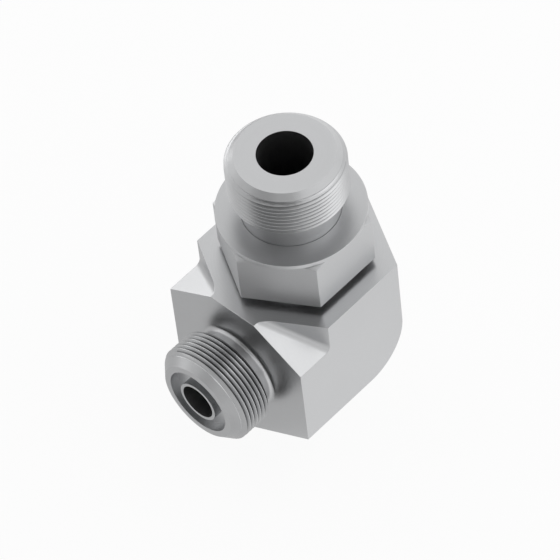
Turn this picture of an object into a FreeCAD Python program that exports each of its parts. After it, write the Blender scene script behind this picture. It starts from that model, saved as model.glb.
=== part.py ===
import FreeCAD, Part
import math
import os

Vector = FreeCAD.Vector

# Adjustable stud elbow for hydraulic lines, in millimetres.
# The stud stands up along +Z and the face-seal port points along -Y.
# The origin is the point where the two axes cross.

STUD_AXIS = Vector(0, 0, 1)
PORT_AXIS = Vector(0, -1, 0)

# Forged body: two hexagonal arms of one size, joined by a round-backed bend
body_across_flats = 70.0
stud_arm_height = 33.8
port_arm_length = 37.65
valley_fillet = 3.2
bend_angle = 90.0
hexagon_slope = 30.0

# Stud end, from the body upwards
stud_thread_diameter = 48.0
stud_thread_length = 15.4
stud_nose_diameter = 40.0
neck_diameter = 39.8
neck_below_thread = 12.6
stud_bore_diameter = 22.4
stud_bore_past_port = 9.5

# Port end, from the body outwards
port_thread_diameter = 44.7
port_thread_length = 13.1
port_nose_diameter = 35.1
port_relief_diameter = 35.0
port_relief_length = 6.1
port_relief_fillet = 2.0
port_bore_diameter = 15.5

# Groove in the port's end face for its seal ring
seal_groove_outer_diameter = 29.3
seal_groove_inner_diameter = 18.2
seal_groove_depth = 4.2

# Where the threads end towards the body, at 45 degrees
thread_runout = 1.4
stud_thread_edge_break = 0.3
drill_point_angle = 118.0

# Lock nut, chamfered on its upper corners
nut_across_flats = 55.0
nut_height = 23.85
nut_gap_to_body = 2.85
nut_bearing_diameter = 57.2
nut_chamfer_angle = 30.0
nut_countersink = 1.0
nut_thread_clearance = 0.05

# Back-up washer that lies on the nut and slides on the neck
washer_diameter = 60.0
washer_thickness = 2.0
washer_neck_clearance = 0.05
washer_thread_gap = 0.3

# Heights above the port's axis
nut_bottom = stud_arm_height + nut_gap_to_body
nut_top = nut_bottom + nut_height
washer_top = nut_top + washer_thickness
neck_start = nut_top - nut_gap_to_body - washer_thread_gap
neck_end = washer_top + neck_below_thread


def hexagon_outline(across_flats):
    """Corners of a hexagon with two flats that face left and right."""
    half = across_flats / 2
    side = half / math.sqrt(3)
    corner = 2 * side
    return [
        (half, side),
        (0, corner),
        (-half, side),
        (-half, -side),
        (0, -corner),
        (half, -side),
    ]


def face_of(points):
    return Part.Face(Part.makePolygon(points + points[:1]))


def turned(profile, axis):
    """Solid of revolution from a closed profile of (radius, distance along the axis) points."""
    points = [Vector(radius, 0, 0) + axis * along for radius, along in profile]
    return face_of(points).revolve(Vector(0, 0, 0), axis, 360)


def drilled(diameter, start, end, axis):
    """Cylinder on an axis, used as a cutter for a bore."""
    return Part.makeCylinder(diameter / 2, end - start, axis * start, axis)


def hexagonal_elbow():
    """Two hexagonal arms at a right angle. Their outer halves are one half hexagon swung round the corner."""
    half = body_across_flats / 2
    side = half / math.sqrt(3)
    corner = 2 * side
    outline = hexagon_outline(body_across_flats)
    stud_arm = face_of([Vector(u, v, 0) for u, v in outline]).extrude(STUD_AXIS * stud_arm_height)
    port_arm = face_of([Vector(u, 0, v) for u, v in outline]).extrude(PORT_AXIS * port_arm_length)
    outer_half = face_of(
        [
            Vector(half, 0, 0),
            Vector(half, side, 0),
            Vector(0, corner, 0),
            Vector(-half, side, 0),
            Vector(-half, 0, 0),
        ]
    )
    bend = outer_half.revolve(Vector(0, 0, 0), Vector(1, 0, 0), -bend_angle)
    blank = stud_arm.fuse([port_arm, bend])
    # One flat cut makes the top face and takes off the port arm's ridge.
    # Another makes the front face and takes off the stud arm's front corner.
    envelope = Part.makeBox(
        2 * corner,
        port_arm_length + 2 * corner,
        stud_arm_height + 2 * corner,
        Vector(-corner, -port_arm_length, -2 * corner),
    )
    right = valley_round()
    return blank.common(envelope).fuse([right, right.mirror(Vector(0, 0, 0), Vector(1, 0, 0))])


def fillet_section(corner, normal_a, normal_b, radius):
    """Face that fills an inner corner between two surfaces, with an arc tangent to both."""
    bisector = normal_a + normal_b
    centre = corner + bisector * (radius / (1 + normal_a.dot(normal_b)))
    middle = centre - bisector * (radius / bisector.Length)
    on_a = centre - normal_a * radius
    on_b = centre - normal_b * radius
    inside = corner - bisector * radius
    return Part.Face(
        Part.Wire(
            [
                Part.LineSegment(inside, on_a).toShape(),
                Part.Arc(on_a, middle, on_b).toShape(),
                Part.LineSegment(on_b, inside).toShape(),
            ]
        )
    )


def valley_round():
    """The hollow on the right where the stud arm's front wall meets the port arm's shoulder."""
    half = body_across_flats / 2
    side = half / math.sqrt(3)
    slope = math.radians(hexagon_slope)
    wall_normal = Vector(math.sin(slope), -math.cos(slope), 0)
    shoulder_normal = Vector(math.sin(slope), 0, math.cos(slope))
    outwards = shoulder_normal.cross(wall_normal).normalize()
    section = fillet_section(Vector(half, -side, side), wall_normal, shoulder_normal, valley_fillet)
    # The section starts outside the body and runs inwards past its middle.
    section.translate(outwards * half)
    filler = section.extrude(outwards * (-3 * half))
    right_inner_corner = Part.makeBox(
        half, port_arm_length, stud_arm_height, Vector(0, -port_arm_length, 0)
    )
    return filler.common(right_inner_corner)


def stud():
    """Lower thread for the lock nut, bare neck, and the upper thread that screws into the port."""
    thread = stud_thread_diameter / 2
    neck = neck_diameter / 2
    nose = stud_nose_diameter / 2
    chamfer_start = neck_end + stud_thread_length
    stud_end = chamfer_start + thread - nose
    return turned(
        [
            (0, 0),
            (thread, 0),
            (thread, neck_start - thread_runout),
            (thread - thread_runout, neck_start),
            (neck, neck_start),
            (neck, neck_end),
            (thread - stud_thread_edge_break, neck_end),
            (thread, neck_end + stud_thread_edge_break),
            (thread, chamfer_start),
            (nose, stud_end),
            (0, stud_end),
        ],
        STUD_AXIS,
    )


def port():
    """Relief, thread and chamfered nose, with the seal ring's groove in the end face."""
    thread = port_thread_diameter / 2
    relief = port_relief_diameter / 2
    nose = port_nose_diameter / 2
    groove_outer = seal_groove_outer_diameter / 2
    groove_inner = seal_groove_inner_diameter / 2
    thread_start = port_arm_length + port_relief_length
    chamfer_start = thread_start + port_thread_length
    port_end = chamfer_start + thread - nose
    groove_floor = port_end - seal_groove_depth
    return turned(
        [
            (0, 0),
            (relief, 0),
            (relief, thread_start),
            (thread - thread_runout, thread_start),
            (thread, thread_start + thread_runout),
            (thread, chamfer_start),
            (nose, port_end),
            (groove_outer, port_end),
            (groove_outer, groove_floor),
            (groove_inner, groove_floor),
            (groove_inner, port_end),
            (0, port_end),
        ],
        PORT_AXIS,
    )


def relief_round():
    """The hollow where the port's relief meets the body's front face."""
    corner = Vector(port_relief_diameter / 2, -port_arm_length, 0)
    section = fillet_section(corner, Vector(1, 0, 0), PORT_AXIS, port_relief_fillet)
    return section.revolve(Vector(0, 0, 0), PORT_AXIS, 360)


def passages():
    """Two drilled bores that meet at a right angle. The stud's bore ends in a drill point."""
    beyond = neck_end + port_arm_length + body_across_flats
    radius = stud_bore_diameter / 2
    point = radius / math.tan(math.radians(drill_point_angle / 2))
    stud_bore = turned(
        [
            (0, -stud_bore_past_port - point),
            (radius, -stud_bore_past_port),
            (radius, beyond),
            (0, beyond),
        ],
        STUD_AXIS,
    )
    return stud_bore.fuse(drilled(port_bore_diameter, 0, beyond, PORT_AXIS))


def elbow_body():
    body = hexagonal_elbow().fuse([stud(), port(), relief_round()])
    return body.removeSplitter().cut(passages())


def lock_nut():
    """Hexagon nut. A cone trims its upper corners, and its bore is countersunk at both ends."""
    corner = nut_across_flats / math.sqrt(3)
    bearing = nut_bearing_diameter / 2
    bore = stud_thread_diameter / 2 + nut_thread_clearance
    rim = 2 * corner
    rim_height = nut_top - (rim - bearing) * math.tan(math.radians(nut_chamfer_angle))
    outline = [Vector(u, v, nut_bottom) for u, v in hexagon_outline(nut_across_flats)]
    prism = face_of(outline).extrude(STUD_AXIS * nut_height)
    cone = turned(
        [
            (0, nut_bottom - corner),
            (rim, nut_bottom - corner),
            (rim, rim_height),
            (bearing, nut_top),
            (0, nut_top),
        ],
        STUD_AXIS,
    )
    hole = turned(
        [
            (0, nut_bottom),
            (bore + nut_countersink, nut_bottom),
            (bore, nut_bottom + nut_countersink),
            (bore, nut_top - nut_countersink),
            (bore + nut_countersink, nut_top),
            (0, nut_top),
        ],
        STUD_AXIS,
    )
    return prism.common(cone).cut(hole)


def backup_washer():
    """Flat ring that backs the seal between the nut and the port's face."""
    disc = drilled(washer_diameter, nut_top, washer_top, STUD_AXIS)
    return disc.cut(drilled(neck_diameter + 2 * washer_neck_clearance, nut_top, washer_top, STUD_AXIS))


def main():
    os.makedirs("parts", exist_ok=True)
    pieces = {
        "elbow_body": elbow_body(),
        "lock_nut": lock_nut(),
        "backup_washer": backup_washer(),
    }
    for name, shape in pieces.items():
        solid = shape.Solids[0]
        print(name, "solids", len(shape.Solids), "valid", shape.isValid(), "volume", round(solid.Volume, 1))
        solid.exportStep(f"parts/{name}.step")


main()
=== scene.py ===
import math

import bmesh
import bpy
from mathutils import Matrix, Vector


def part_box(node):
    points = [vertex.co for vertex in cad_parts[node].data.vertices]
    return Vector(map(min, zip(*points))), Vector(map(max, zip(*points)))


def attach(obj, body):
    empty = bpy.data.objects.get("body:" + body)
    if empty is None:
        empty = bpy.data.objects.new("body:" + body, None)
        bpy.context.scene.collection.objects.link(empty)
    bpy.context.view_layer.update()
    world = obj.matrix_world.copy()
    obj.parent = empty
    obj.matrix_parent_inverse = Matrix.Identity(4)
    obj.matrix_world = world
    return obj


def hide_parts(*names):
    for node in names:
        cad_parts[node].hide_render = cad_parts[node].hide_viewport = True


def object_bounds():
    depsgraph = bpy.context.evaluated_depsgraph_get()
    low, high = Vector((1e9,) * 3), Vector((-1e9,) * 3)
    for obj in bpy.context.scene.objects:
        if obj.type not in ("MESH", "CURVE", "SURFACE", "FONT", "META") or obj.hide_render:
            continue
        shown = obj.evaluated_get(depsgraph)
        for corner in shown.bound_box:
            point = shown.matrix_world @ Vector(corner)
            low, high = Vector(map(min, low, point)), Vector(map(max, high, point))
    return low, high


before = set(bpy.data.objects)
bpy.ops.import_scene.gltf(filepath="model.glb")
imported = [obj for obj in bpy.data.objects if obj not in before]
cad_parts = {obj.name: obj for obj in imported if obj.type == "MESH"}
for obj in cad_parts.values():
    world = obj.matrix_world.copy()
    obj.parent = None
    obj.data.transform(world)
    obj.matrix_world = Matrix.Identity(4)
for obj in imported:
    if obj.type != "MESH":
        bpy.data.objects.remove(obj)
cad_low, cad_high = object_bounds()

# Lengths are in metres, and small ones are written as millimetres times MM
MM = 0.001

# Camera, fitted to the photograph, with its angles in degrees
CAMERA_AZIMUTH = 48.16
CAMERA_ELEVATION = 51.11
CAMERA_ROLL = -7.24
CAMERA_DISTANCE = 1.8748
CAMERA_ASIDE = -0.00925
CAMERA_ABOVE = 0.01033
CAMERA_LENS = 302.67
CAMERA_REACH = 20.0
SENSOR_WIDTH = 36.0

# Directions of the two turned ends: across, across, outwards
STUD_AXES = (Vector((1, 0, 0)), Vector((0, 1, 0)), Vector((0, 0, 1)))
PORT_AXES = (Vector((1, 0, 0)), Vector((0, 0, 1)), Vector((0, -1, 0)))

# The turned ends and the bores, from the point where the two axes cross
STUD_START = 33.75 * MM
PORT_START = 37.7 * MM
STUD_NOSE_RADIUS = 20.0 * MM
PORT_NOSE_RADIUS = 17.55 * MM
STUD_THREAD_SPAN = (75.2 * MM, 90.7 * MM)
PORT_THREAD_SPAN = (43.7 * MM, 57.0 * MM)
STUD_BORE_RADIUS = 11.25 * MM
PORT_BORE_RADIUS = 7.8 * MM
BORE_END = -20 * MM

# Threads: single start, right-handed, near-sharp 60 degree grooves
# At its crest angle, in degrees round the axis, each thread has a crest at its crest place
PITCH = 2.0 * MM
THREAD_DEPTH = 1.43 * MM
CREST_WIDTH = 0.25 * MM
FLANK_SLOPE = math.tan(math.radians(30))
STUD_THREAD_RADIUS = 24.0 * MM
PORT_THREAD_RADIUS = 22.35 * MM
STUD_CREST_ANGLE = 318.0
STUD_CREST_PLACE = 83.3 * MM
PORT_CREST_ANGLE = 59.0
PORT_CREST_PLACE = 51.65 * MM

# Where the grooves start. The lower one also ends, and fades in over this part of a turn.
# The other two run off the end of the metal.
UPPER_GROOVE_START = 72 * MM
PORT_GROOVE_START = 41 * MM
LOWER_GROOVE_START = 35.3 * MM
LOWER_GROOVE_END = 59 * MM
LOWER_GROOVE_FADE = 0.3

# The thin step on each nose where the threading tool came in
STUD_STEP_RADIUS = 22.25 * MM
PORT_STEP_RADIUS = 20.45 * MM
STEP_DEPTH = 0.32 * MM
STEP_REACH = 1.2 * MM

# Cutters
CUTTER_OVERLAP = 0.15 * MM
STEPS_PER_TURN = 144

# Circles of the CAD mesh that are made rounder, and how closely their points have to agree
STUD_ROUND_START = 33 * MM
PORT_ROUND_START = 37 * MM
ARC_CUTS = 3
SAME_CIRCLE = 0.003 * MM
CIRCLE_STEP = 0.01 * MM
CIRCLE_SLACK = 0.001 * MM
LONGEST_SHIFT = 0.1 * MM
RADIUS_DIGITS = 7

# Broken edges: those of the nut, the washer and the two arms
# On the arms, none is broken past their ends, in the turned ends or inside the core radius
EDGE_BREAK = 0.2 * MM
EDGE_SEGMENTS = 2
EDGE_PROFILE = 0.5
ARM_END = 38 * MM
ARM_CORE_RADIUS = 15 * MM
END_MARGIN = 1 * MM

# Cleaning and shading of the meshes
MERGE_DISTANCE = 0.002 * MM
FLAT_ANGLE = math.radians(0.2)
SMOOTH_ANGLE = math.radians(28)
SHARP_ANGLE = math.radians(29)
NORMAL_WEIGHT = 100

# Plated steel
STEEL_COLOUR = (0.565, 0.57, 0.578)
# The bores get a much darker colour than the steel: painted shade for their dark inside
BORE_SHADE_COLOUR = (0.3, 0.302, 0.305)
STEEL_ROUGHNESS = 0.32
RING_ROUGHNESS = 0.39
BORE_ROUGHNESS = STEEL_ROUGHNESS + 0.1

# Its patterns: clouds, tool marks and speckle, in grains per metre, and how strong each one is
# A noise pattern stays mostly between the low and the high value
PATTERN_LOW = 0.3
PATTERN_HIGH = 0.7
CLOUD_SCALE = 45.0
CLOUD_DEPTH = 0.03
CLOUD_SHARE = 0.6
CLOUD_SHEEN = (-0.03, 0.01)
MARK_SCALE = 2500.0
MARK_DETAIL = 1
MARK_SHARE = 0.4
FLAT_MARKS = 0.2
TURNED_MARKS = 1.0
FLAT_GRAIN = (0.15, 1.0, 1.0)
SPECKLE_SCALE = 1500.0
SPECKLE_SHEEN = 0.02
SPECKLE_RELIEF = 0.12
RELIEF_DEPTH = 0.004 * MM

# Painted shade at the root of each thread: how dark the colour gets there, and how far up the groove that
# reaches
STUD_ROOT_SHADE = 0.15
PORT_ROOT_SHADE = 0.12
ROOT_SHADE_REACH = 0.9 * MM

# Floor just under the object
FLOOR_GAP = 2.0 * MM
FLOOR_SIZE = 6.0
FLOOR_COLOUR = (0.92, 0.92, 0.92)
FLOOR_ROUGHNESS = 0.9
FLOOR_WHITENESS = 0.92

# What the metal mirrors of the floor: a painted reflection, white towards +X and +Y, and greyer towards -X
# and -Y as painted shade
# It changes between these two sums of x and y
SHEET_GREY = 0.64
SHEET_WHITE = 1.0
SHEET_GREY_END = -0.04
SHEET_WHITE_END = 0.0

# Studio panels round the object, out of the camera's sight
# Each has a name, a direction (degrees from +X and above the floor), a width, a height and a brightness
PANEL_DISTANCE = 1.0
PANELS = (
    ("left_low_box", 164, 6, 0.75, 0.25, 2.0),
    ("high_right_box", 42, 54, 0.45, 0.38, 1.6),
    ("top_flag", 0, 90, 0.50, 0.50, 0.45),
    ("high_front_flag", -75, 61, 1.05, 0.48, 0.08),
    ("high_left_flag", -165, 61, 0.53, 0.48, 0.7),
    ("camera_flag", -45, 32, 0.68, 0.52, 0.75),
    ("front_flag", -90, 32, 0.68, 0.52, 0.5),
    ("front_left_flag", -135, 32, 0.68, 0.52, 0.68),
    ("low_front_flag", -90, 8, 1.60, 0.29, 0.5),
    ("low_right_flag", 0, 8, 0.80, 0.29, 0.4),
    ("back_flag", 100, 32, 1.10, 0.50, 0.82),
)


def mesh_copy(node):
    """A bmesh of a CAD node with its shared corners merged and its flat faces joined."""
    bm = bmesh.new()
    bm.from_mesh(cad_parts[node].data)
    bmesh.ops.remove_doubles(bm, verts=bm.verts, dist=MERGE_DISTANCE)
    bmesh.ops.dissolve_limit(
        bm, angle_limit=FLAT_ANGLE, verts=bm.verts, edges=bm.edges, use_dissolve_boundaries=False
    )
    return bm


def finished_object(bm, name):
    """Turns a bmesh into an object of the scene."""
    mesh = bpy.data.meshes.new(name)
    bm.to_mesh(mesh)
    bm.free()
    piece = bpy.data.objects.new(name, mesh)
    bpy.context.scene.collection.objects.link(piece)
    return piece


def apply_modifiers(piece):
    """Makes what the modifiers give the piece's own mesh."""
    graph = bpy.context.evaluated_depsgraph_get()
    mesh = bpy.data.meshes.new_from_object(piece.evaluated_get(graph))
    piece.modifiers.clear()
    piece.data = mesh


def polar(point, axes):
    """Distance from an end's axis, and distance along it."""
    side, across, along = axes
    return math.hypot(point.dot(side), point.dot(across)), point.dot(along)


def refine_circles(bm, axes, start):
    """Cuts each edge that runs round the axis into shorter ones, and moves the new points onto the circle."""
    circles = {}
    chosen = []
    for edge in bm.edges:
        (r0, h0), (r1, h1) = (polar(vert.co, axes) for vert in edge.verts)
        if h0 > start and abs(r0 - r1) < SAME_CIRCLE and abs(h0 - h1) < SAME_CIRCLE:
            chosen.append(edge)
            circles.setdefault(round(h0 / CIRCLE_STEP), set()).add(round(r0, RADIUS_DIGITS))
    result = bmesh.ops.subdivide_edges(bm, edges=chosen, cuts=ARC_CUTS, use_grid_fill=True)
    along = axes[2]
    for vert in result["geom_inner"]:
        if not isinstance(vert, bmesh.types.BMVert):
            continue
        radius, height = polar(vert.co, axes)
        radii = circles.get(round(height / CIRCLE_STEP), ())
        wanted = min((r for r in radii if r > radius - CIRCLE_SLACK), default=None)
        if wanted is None or wanted - radius > LONGEST_SHIFT:
            continue
        outwards = vert.co - along * height
        vert.co = along * height + outwards * (wanted / radius)


def break_edges(bm, wanted):
    """Rounds the sharp edges that the wanted() test picks."""
    bm.normal_update()
    sharp = [
        edge
        for edge in bm.edges
        if len(edge.link_faces) == 2 and edge.calc_face_angle() > SHARP_ANGLE and wanted(edge)
    ]
    bmesh.ops.bevel(
        bm,
        geom=sharp,
        offset=EDGE_BREAK,
        offset_type="OFFSET",
        segments=EDGE_SEGMENTS,
        profile=EDGE_PROFILE,
        affect="EDGES",
        clamp_overlap=True,
    )


def on_arms(edge):
    """True for an edge of the two hexagonal arms, outside the turned ends and the bores."""
    for vert in edge.verts:
        stud_radius, height = polar(vert.co, STUD_AXES)
        port_radius, reach = polar(vert.co, PORT_AXES)
        if height > STUD_ROUND_START and stud_radius < STUD_THREAD_RADIUS + END_MARGIN:
            return False
        if reach > PORT_ROUND_START and port_radius < PORT_THREAD_RADIUS - END_MARGIN:
            return False
        if max(height, reach) > ARM_END:
            return False
        if min(stud_radius, port_radius) < ARM_CORE_RADIUS:
            return False
    return True


def smooth(piece):
    """Smooth shading between sharp edges. The normals that came with the CAD mesh are dropped first."""
    if "custom_normal" in piece.data.attributes:
        piece.data.attributes.remove(piece.data.attributes["custom_normal"])
    piece.data.shade_smooth()
    piece.data.set_sharp_from_angle(angle=SMOOTH_ANGLE)
    # Large flat faces keep their own direction beside a fillet
    modifier = piece.modifiers.new("weighted", "WEIGHTED_NORMAL")
    modifier.keep_sharp = True
    modifier.weight = NORMAL_WEIGHT
    apply_modifiers(piece)


def swept_cutter(name, rings, closed):
    """A bar through rings of four corners. A closed one ends where it starts."""
    bm = bmesh.new()
    loops = [[bm.verts.new(corner) for corner in ring] for ring in rings]
    pairs = list(zip(loops, loops[1:]))
    if closed:
        pairs.append((loops[-1], loops[0]))
    else:
        bm.faces.new(loops[0])
        bm.faces.new(reversed(loops[-1]))
    for before, after in pairs:
        for i in range(4):
            j = (i + 1) % 4
            bm.faces.new((before[i], before[j], after[j], after[i]))
    bmesh.ops.recalc_face_normals(bm, faces=bm.faces)
    return finished_object(bm, name)


def section_at(axes, angle, corners, place=0.0):
    """Points of a cutter's section at an angle round the axis, from corners of (radius, along the axis)."""
    side, across, along = axes
    out = side * math.cos(angle) + across * math.sin(angle)
    return [out * radius + along * (place + height) for radius, height in corners]


def thread_cutter(axes, radius, start, end, crest_angle, crest_place, fade=0.0):
    """A V-shaped helical bar that cuts one groove. It fades in over the first part of a turn."""
    groove_half = (PITCH - CREST_WIDTH) / 2
    root_half = groove_half - THREAD_DEPTH * FLANK_SLOPE
    outer_half = groove_half + CUTTER_OVERLAP * FLANK_SLOPE
    out_of_metal = THREAD_DEPTH + CUTTER_OVERLAP / 2
    middle = crest_place + PITCH / 2 - PITCH * crest_angle / 360
    first = math.floor((start - middle) / PITCH * STEPS_PER_TURN)
    last = math.ceil((end - middle) / PITCH * STEPS_PER_TURN)
    rings = []
    for step in range(first, last + 1):
        turn = step / STEPS_PER_TURN
        lift = 0.0
        if fade:
            lift = max(0.0, 1 - (step - first) / (fade * STEPS_PER_TURN)) * out_of_metal
        corners = (
            (radius + CUTTER_OVERLAP + lift, outer_half),
            (radius + CUTTER_OVERLAP + lift, -outer_half),
            (radius - THREAD_DEPTH + lift, -root_half),
            (radius - THREAD_DEPTH + lift, root_half),
        )
        rings.append(section_at(axes, 2 * math.pi * turn, corners, middle + PITCH * turn))
    return swept_cutter("thread_cutter", rings, closed=False)


def step_cutter(axes, step_radius, nose_radius, end):
    """A ring that cuts the nose's 45 degree cone back to a short wall and a slope like a thread's flank."""
    top = end + nose_radius - step_radius
    foot = top - STEP_DEPTH
    corners = (
        (step_radius, foot),
        (step_radius + STEP_REACH, foot - STEP_REACH * FLANK_SLOPE),
        (step_radius + STEP_REACH, top + STEP_REACH),
        (step_radius, top + STEP_REACH),
    )
    rings = []
    for step in range(STEPS_PER_TURN):
        rings.append(section_at(axes, 2 * math.pi * step / STEPS_PER_TURN, corners))
    return swept_cutter("step_cutter", rings, closed=True)


def cut(piece, cutter):
    """Applies a boolean difference and removes the cutter."""
    modifier = piece.modifiers.new("cut", "BOOLEAN")
    modifier.operation = "DIFFERENCE"
    modifier.solver = "MANIFOLD"
    modifier.object = cutter
    apply_modifiers(piece)
    bpy.data.objects.remove(cutter)


def add_node(tree, kind, **settings):
    """A new node with some of its properties set."""
    node = tree.nodes.new(kind)
    for name, value in settings.items():
        setattr(node, name, value)
    return node


def math_node(tree, operation, *values):
    """A math node. Each of its inputs is a socket or a number."""
    node = add_node(tree, "ShaderNodeMath", operation=operation)
    for socket, value in zip(node.inputs, values):
        if isinstance(value, (int, float)):
            socket.default_value = value
        else:
            tree.links.new(value, socket)
    return node.outputs[0]


def map_range(tree, value, low, high, to_low, to_high):
    """Maps low to high onto to_low to to_high, and holds the ends."""
    node = add_node(tree, "ShaderNodeMapRange", clamp=True)
    node.inputs["From Min"].default_value = low
    node.inputs["From Max"].default_value = high
    node.inputs["To Min"].default_value = to_low
    node.inputs["To Max"].default_value = to_high
    tree.links.new(value, node.inputs["Value"])
    return node.outputs[0]


def spread(tree, pattern, low, high):
    """Maps a noise pattern from its usual range onto low to high."""
    return map_range(tree, pattern, PATTERN_LOW, PATTERN_HIGH, low, high)


def noise(tree, vector, scale, detail=0):
    """A noise pattern at the given coordinates."""
    node = add_node(tree, "ShaderNodeTexNoise")
    node.inputs["Scale"].default_value = scale
    node.inputs["Detail"].default_value = detail
    tree.links.new(vector, node.inputs["Vector"])
    return node.outputs[0]


def separated(tree, vector):
    """The three parts of a vector."""
    node = add_node(tree, "ShaderNodeSeparateXYZ")
    tree.links.new(vector, node.inputs[0])
    return node.outputs


def grain_vector(tree, place, finish):
    """Coordinates that stretch the grain: round an axis for turned faces, or one way for flat ones."""
    if finish == "flats":
        stretch = add_node(tree, "ShaderNodeVectorMath", operation="MULTIPLY")
        stretch.inputs[1].default_value = FLAT_GRAIN
        tree.links.new(place, stretch.inputs[0])
        return stretch.outputs[0]
    x, y, z = separated(tree, place)
    side, along = (y, z) if finish == "stud" else (z, y)
    squares = math_node(tree, "ADD", math_node(tree, "POWER", x, 2), math_node(tree, "POWER", side, 2))
    join = add_node(tree, "ShaderNodeCombineXYZ")
    tree.links.new(math_node(tree, "SQRT", squares), join.inputs[0])
    tree.links.new(along, join.inputs[1])
    return join.outputs[0]


def clouded_colour(tree, colour, clouds, lines):
    """The steel's colour, a little darker and lighter in clouds and along the tool marks."""
    tint = add_node(tree, "ShaderNodeMix", data_type="RGBA")
    tint.inputs["A"].default_value = (*(c * (1 - CLOUD_DEPTH) for c in colour), 1)
    tint.inputs["B"].default_value = (*(c * (1 + CLOUD_DEPTH) for c in colour), 1)
    patches = math_node(
        tree, "ADD", spread(tree, clouds, 0, CLOUD_SHARE), spread(tree, lines, 0, MARK_SHARE)
    )
    tree.links.new(patches, tint.inputs["Factor"])
    return tint.outputs["Result"]


def painted_root_shade(tree, colour, grain, crest_radius, tone):
    """The colour, darker towards the bottom of a thread's groove, as painted shade."""
    radius = separated(tree, grain)[0]
    root = crest_radius - THREAD_DEPTH
    scale = add_node(tree, "ShaderNodeVectorMath", operation="SCALE")
    tree.links.new(colour, scale.inputs[0])
    tree.links.new(map_range(tree, radius, root, root + ROOT_SHADE_REACH, tone, 1.0), scale.inputs["Scale"])
    return scale.outputs[0]


def steel(name, finish, colour, roughness, marks, root_shade=None):
    """Bright plated steel with tool marks, a fine grain and slight clouds in its colour and sheen.

    The optional last argument gives a thread's crest radius and how dark the painted shade at its roots is.
    """
    material = bpy.data.materials.new(name)
    material.use_nodes = True
    tree = material.node_tree
    shader = tree.nodes["Principled BSDF"]
    shader.inputs["Metallic"].default_value = 1.0
    place = add_node(tree, "ShaderNodeTexCoord").outputs["Object"]
    grain = grain_vector(tree, place, finish)
    clouds = noise(tree, place, CLOUD_SCALE)
    lines = noise(tree, grain, MARK_SCALE, MARK_DETAIL)
    speckle = noise(tree, place, SPECKLE_SCALE)

    tone = clouded_colour(tree, colour, clouds, lines)
    # Painted shade towards the bottom of the thread grooves
    if root_shade:
        tone = painted_root_shade(tree, tone, grain, *root_shade)
    tree.links.new(tone, shader.inputs["Base Color"])

    smoother, rougher = (roughness + change for change in CLOUD_SHEEN)
    sheen = math_node(
        tree, "ADD", spread(tree, clouds, smoother, rougher), spread(tree, speckle, 0, SPECKLE_SHEEN)
    )
    tree.links.new(sheen, shader.inputs["Roughness"])

    relief = math_node(
        tree, "ADD", spread(tree, lines, 0, marks), spread(tree, speckle, 0, SPECKLE_RELIEF)
    )
    bump = add_node(tree, "ShaderNodeBump")
    bump.inputs["Strength"].default_value = 1.0
    bump.inputs["Distance"].default_value = RELIEF_DEPTH
    tree.links.new(relief, bump.inputs["Height"])
    tree.links.new(bump.outputs["Normal"], shader.inputs["Normal"])
    return material


def body_finishes():
    """The materials of the body's regions, by the names that finish_of() gives."""
    bright = (STEEL_COLOUR, STEEL_ROUGHNESS)
    # Crest radii and how dark the painted shade at the thread roots is
    stud_root_shade = (STUD_THREAD_RADIUS, STUD_ROOT_SHADE)
    port_root_shade = (PORT_THREAD_RADIUS, PORT_ROOT_SHADE)
    return {
        "flats": steel("plated_flats", "flats", *bright, FLAT_MARKS),
        "stud": steel("plated_stud", "stud", *bright, TURNED_MARKS),
        "port": steel("plated_port", "port", *bright, TURNED_MARKS),
        "stud_thread": steel("plated_stud_thread_root_shade", "stud", *bright, TURNED_MARKS, stud_root_shade),
        "port_thread": steel("plated_port_thread_root_shade", "port", *bright, TURNED_MARKS, port_root_shade),
        # The bores' darker colour is painted shade
        "bore": steel("bore_steel_painted_shade", "flats", BORE_SHADE_COLOUR, BORE_ROUGHNESS, TURNED_MARKS),
    }


def finish_of(corners):
    """Which finish a face of the body has, from where its corners lie."""
    on_stud = [polar(corner, STUD_AXES) for corner in corners]
    on_port = [polar(corner, PORT_AXES) for corner in corners]
    for places, bore_radius in ((on_stud, STUD_BORE_RADIUS), (on_port, PORT_BORE_RADIUS)):
        widest = max(radius for radius, _ in places)
        lowest = min(along for _, along in places)
        if widest < bore_radius and lowest > BORE_END:
            return "bore"
    for end, places, start, thread_span in (
        ("stud", on_stud, STUD_START, STUD_THREAD_SPAN),
        ("port", on_port, PORT_START, PORT_THREAD_SPAN),
    ):
        lowest = min(along for _, along in places)
        highest = max(along for _, along in places)
        if lowest > thread_span[0] and highest < thread_span[1]:
            return end + "_thread"
        if lowest > start:
            return end
    return "flats"


def cut_ends(piece, stud_end, port_end):
    """Cuts the three threads and the step on each nose."""
    stud = (STUD_AXES, STUD_THREAD_RADIUS)
    port = (PORT_AXES, PORT_THREAD_RADIUS)
    stud_crest = (STUD_CREST_ANGLE, STUD_CREST_PLACE)
    port_crest = (PORT_CREST_ANGLE, PORT_CREST_PLACE)
    cut(piece, thread_cutter(*stud, UPPER_GROOVE_START, stud_end, *stud_crest))
    cut(piece, thread_cutter(*stud, LOWER_GROOVE_START, LOWER_GROOVE_END, *stud_crest, LOWER_GROOVE_FADE))
    cut(piece, thread_cutter(*port, PORT_GROOVE_START, port_end, *port_crest))
    cut(piece, step_cutter(STUD_AXES, STUD_STEP_RADIUS, STUD_NOSE_RADIUS, stud_end))
    cut(piece, step_cutter(PORT_AXES, PORT_STEP_RADIUS, PORT_NOSE_RADIUS, port_end))


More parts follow.
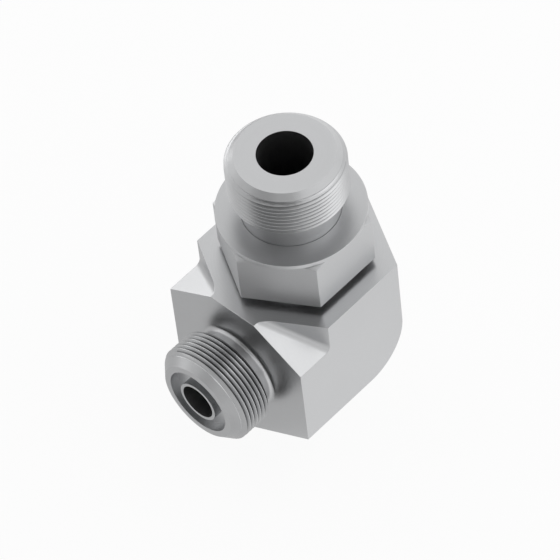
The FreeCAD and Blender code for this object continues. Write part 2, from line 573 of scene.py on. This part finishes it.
def make_body(materials):
    """The elbow with its threads cut, and a material for each of its regions."""
    low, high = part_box("elbow_body")
    bm = mesh_copy("elbow_body")
    refine_circles(bm, STUD_AXES, STUD_ROUND_START)
    refine_circles(bm, PORT_AXES, PORT_ROUND_START)
    break_edges(bm, on_arms)
    piece = finished_object(bm, "threaded_elbow")
    cut_ends(piece, high.z, -low.y)
    smooth(piece)
    names = list(materials)
    piece.data.materials.clear()
    for name in names:
        piece.data.materials.append(materials[name])
    points = [vert.co for vert in piece.data.vertices]
    for face in piece.data.polygons:
        face.material_index = names.index(finish_of([points[i] for i in face.vertices]))
    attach(piece, "fitting")
    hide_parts("elbow_body")


def make_ring(node, body, name, material):
    """The nut or the washer, with every sharp edge broken."""
    bm = mesh_copy(node)
    break_edges(bm, lambda edge: True)
    piece = finished_object(bm, name)
    smooth(piece)
    piece.data.materials.append(material)
    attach(piece, body)
    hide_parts(node)


def direction(azimuth, elevation):
    """Unit vector at an angle from +X round Z, and an angle above the floor, both in degrees."""
    around = math.radians(azimuth)
    above = math.radians(elevation)
    return Vector((math.cos(around) * math.cos(above), math.sin(around) * math.cos(above), math.sin(above)))


def make_camera():
    """The camera that was fitted to the photograph."""
    # The camera's azimuth is measured from -Y
    back = direction(CAMERA_AZIMUTH - 90, CAMERA_ELEVATION)
    roll = math.radians(CAMERA_ROLL)
    level = (-back).cross(Vector((0, 0, 1))).normalized()
    upright = level.cross(-back)
    right = math.cos(roll) * level + math.sin(roll) * upright
    up = math.cos(roll) * upright - math.sin(roll) * level
    camera = bpy.data.objects.new("camera", bpy.data.cameras.new("camera"))
    camera.data.lens = CAMERA_LENS
    camera.data.sensor_width = SENSOR_WIDTH
    camera.data.clip_end = CAMERA_REACH
    place = back * CAMERA_DISTANCE + right * CAMERA_ASIDE + up * CAMERA_ABOVE
    turn = Matrix((right, up, back)).transposed().to_4x4()
    camera.matrix_world = Matrix.Translation(place) @ turn
    bpy.context.scene.collection.objects.link(camera)
    bpy.context.scene.camera = camera


def make_world():
    """White light from all round."""
    world = bpy.data.worlds.new("studio")
    bpy.context.scene.world = world
    world.use_nodes = True
    background = world.node_tree.nodes["Background"]
    background.inputs["Color"].default_value = (1, 1, 1, 1)
    background.inputs["Strength"].default_value = 1.0


def plane(name, width, height):
    """A flat rectangle round the origin."""
    bm = bmesh.new()
    bmesh.ops.create_grid(bm, x_segments=1, y_segments=1, size=0.5)
    bmesh.ops.scale(bm, vec=(width, height, 1), verts=bm.verts)
    return finished_object(bm, name)


def mix_shaders(tree, factor, first, second):
    """The first shader where the factor is 0, and the second where it is 1."""
    mix = add_node(tree, "ShaderNodeMixShader")
    for value, socket in zip((factor, first, second), mix.inputs):
        tree.links.new(value, socket)
    return mix.outputs[0]


def make_floor():
    """A pale floor that the camera sees nearly white, with the object's shadow kept faint."""
    floor = plane("floor", FLOOR_SIZE, FLOOR_SIZE)
    floor.location.z = cad_low.z - FLOOR_GAP
    material = bpy.data.materials.new("floor_paint")
    material.use_nodes = True
    tree = material.node_tree
    paint = tree.nodes["Principled BSDF"]
    paint.inputs["Base Color"].default_value = (*FLOOR_COLOUR, 1)
    paint.inputs["Roughness"].default_value = FLOOR_ROUGHNESS
    white = add_node(tree, "ShaderNodeEmission")
    white.inputs["Strength"].default_value = 1.0

    # Painted reflection: a glow on the floor that only glossy rays see, greyer towards -X and -Y as painted
    # shade
    painted_reflection = add_node(tree, "ShaderNodeEmission")
    x, y, _ = separated(tree, add_node(tree, "ShaderNodeTexCoord").outputs["Object"])
    across = math_node(tree, "ADD", x, y)
    shade = map_range(tree, across, SHEET_GREY_END, SHEET_WHITE_END, SHEET_GREY, SHEET_WHITE)
    tree.links.new(shade, painted_reflection.inputs["Strength"])

    path = add_node(tree, "ShaderNodeLightPath").outputs
    mirrored = mix_shaders(tree, path["Is Glossy Ray"], paint.outputs[0], painted_reflection.outputs[0])
    whiteness = math_node(tree, "MULTIPLY", path["Is Camera Ray"], FLOOR_WHITENESS)
    seen = mix_shaders(tree, whiteness, mirrored, white.outputs[0])
    tree.links.new(seen, tree.nodes["Material Output"].inputs["Surface"])
    floor.data.materials.append(material)


def make_panel(name, azimuth, elevation, width, height, brightness):
    """A flat light that faces the object. One that is darker than the white around it works as a flag."""
    away = direction(azimuth, elevation)
    panel = plane(name, width, height)
    panel.location = away * PANEL_DISTANCE
    panel.rotation_euler = away.to_track_quat("Z", "Y").to_euler()
    panel.visible_camera = False
    material = bpy.data.materials.new(name)
    material.use_nodes = True
    tree = material.node_tree
    tree.nodes.remove(tree.nodes["Principled BSDF"])
    glow = add_node(tree, "ShaderNodeEmission")
    glow.inputs["Strength"].default_value = brightness
    tree.links.new(glow.outputs[0], tree.nodes["Material Output"].inputs["Surface"])
    panel.data.materials.append(material)


def main():
    bpy.context.scene.view_settings.view_transform = "Standard"
    make_camera()
    make_world()
    make_floor()
    for panel in PANELS:
        make_panel(*panel)
    make_body(body_finishes())
    nut = steel("plated_nut", "flats", STEEL_COLOUR, RING_ROUGHNESS, FLAT_MARKS)
    washer = steel("plated_washer", "stud", STEEL_COLOUR, RING_ROUGHNESS, TURNED_MARKS)
    make_ring("lock_nut", "nut", "hexagon_nut", nut)
    make_ring("backup_washer", "washer", "flat_washer", washer)


main()
